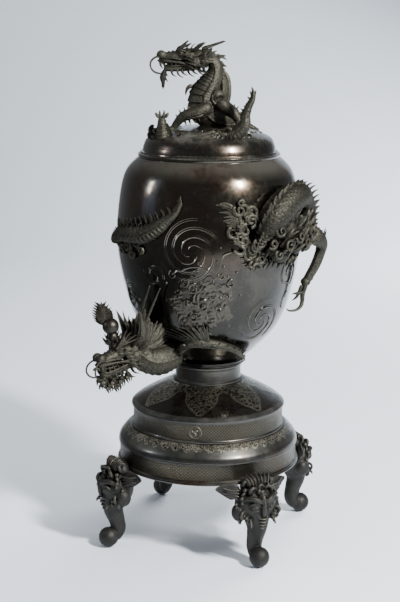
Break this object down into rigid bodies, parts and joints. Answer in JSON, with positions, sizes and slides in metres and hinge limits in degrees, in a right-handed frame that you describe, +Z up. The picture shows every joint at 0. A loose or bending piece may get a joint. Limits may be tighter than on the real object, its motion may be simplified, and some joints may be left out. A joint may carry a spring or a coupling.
{
  "type": "covered floor vase on stand",
  "caption": "Ovoid cast metal floor vase with a domed cover, in a round two-tiered stand on elephant-mask legs, with dragons in the round on cover and body.",
  "frame": {"origin": "on the floor, under the shared axis of the stand, the vase and the lid", "axes": "+Z up along the vase's axis; the four legs stand on the diagonals between X and Y; the lid dragon looks towards -X"},
  "size_m": [0.4265, 0.4592, 1.0008],
  "materials": {
    "bronze_vase": "dark brown patinated bronze, waxed and glossy",
    "bronze_stand": "dark patinated bronze with fine cast diaper, semi-matte",
    "bronze_dragon": "olive brown patinated bronze, matte with rubbed edges",
    "copper_liner": "dull tarnished copper"
  },
  "bodies": {
    "stand": {"stand_lower_tier": "bronze_stand", "stand_upper_tier": "bronze_stand", "stand_collar": "bronze_stand", "leg_front_right": "bronze_stand", "leg_back_right": "bronze_stand", "leg_back_left": "bronze_stand", "leg_front_left": "bronze_stand", "leg_screw_front_right": "bronze_stand", "leg_screw_back_right": "bronze_stand", "leg_screw_back_left": "bronze_stand", "leg_screw_front_left": "bronze_stand"},
    "vase": {"vase_foot_ring": "bronze_vase", "vase_body": "bronze_vase", "vase_mouth_ring": "bronze_vase", "ash_liner": "copper_liner", "vase_dragon_neck": "bronze_dragon", "vase_dragon_head": "bronze_dragon", "vase_dragon_jaw": "bronze_dragon", "vase_dragon_mane": "bronze_dragon", "vase_dragon_horn_left": "bronze_dragon", "vase_dragon_horn_right": "bronze_dragon", "vase_dragon_whisker_left": "bronze_dragon", "vase_dragon_whisker_right": "bronze_dragon", "vase_dragon_foreleg": "bronze_dragon", "vase_dragon_coil": "bronze_dragon", "vase_dragon_hind_leg": "bronze_dragon", "vase_dragon_tail": "bronze_dragon", "vase_spray": "bronze_dragon", "flaming_jewel": "bronze_vase", "dragon_nut_neck": "copper_liner", "dragon_nut_coil": "copper_liner", "dragon_nut_tail": "copper_liner"},
    "lid": {"lid_dome": "bronze_vase", "finial_dragon_body": "bronze_dragon", "finial_dragon_head": "bronze_dragon", "finial_dragon_jaw": "bronze_dragon", "finial_dragon_mane": "bronze_dragon", "finial_dragon_horn_left": "bronze_dragon", "finial_dragon_horn_right": "bronze_dragon", "finial_dragon_whisker_left": "bronze_dragon", "finial_dragon_whisker_right": "bronze_dragon", "finial_dragon_foreleg_left": "bronze_dragon", "finial_dragon_foreleg_right": "bronze_dragon", "finial_dragon_tail": "bronze_dragon", "lid_raised_claw": "bronze_dragon", "lid_wave_crest": "bronze_dragon", "finial_nut": "copper_liner"}
  },
  "joints": [
    {"name": "vase_lift", "type": "slide", "parent": "stand", "child": "vase", "axis": [0, 0, 1], "range_m": [0, 0.12]},
    {"name": "lid_lift", "type": "slide", "parent": "vase", "child": "lid", "axis": [0, 0, 1], "range_m": [0, 0.2]}
  ]
}
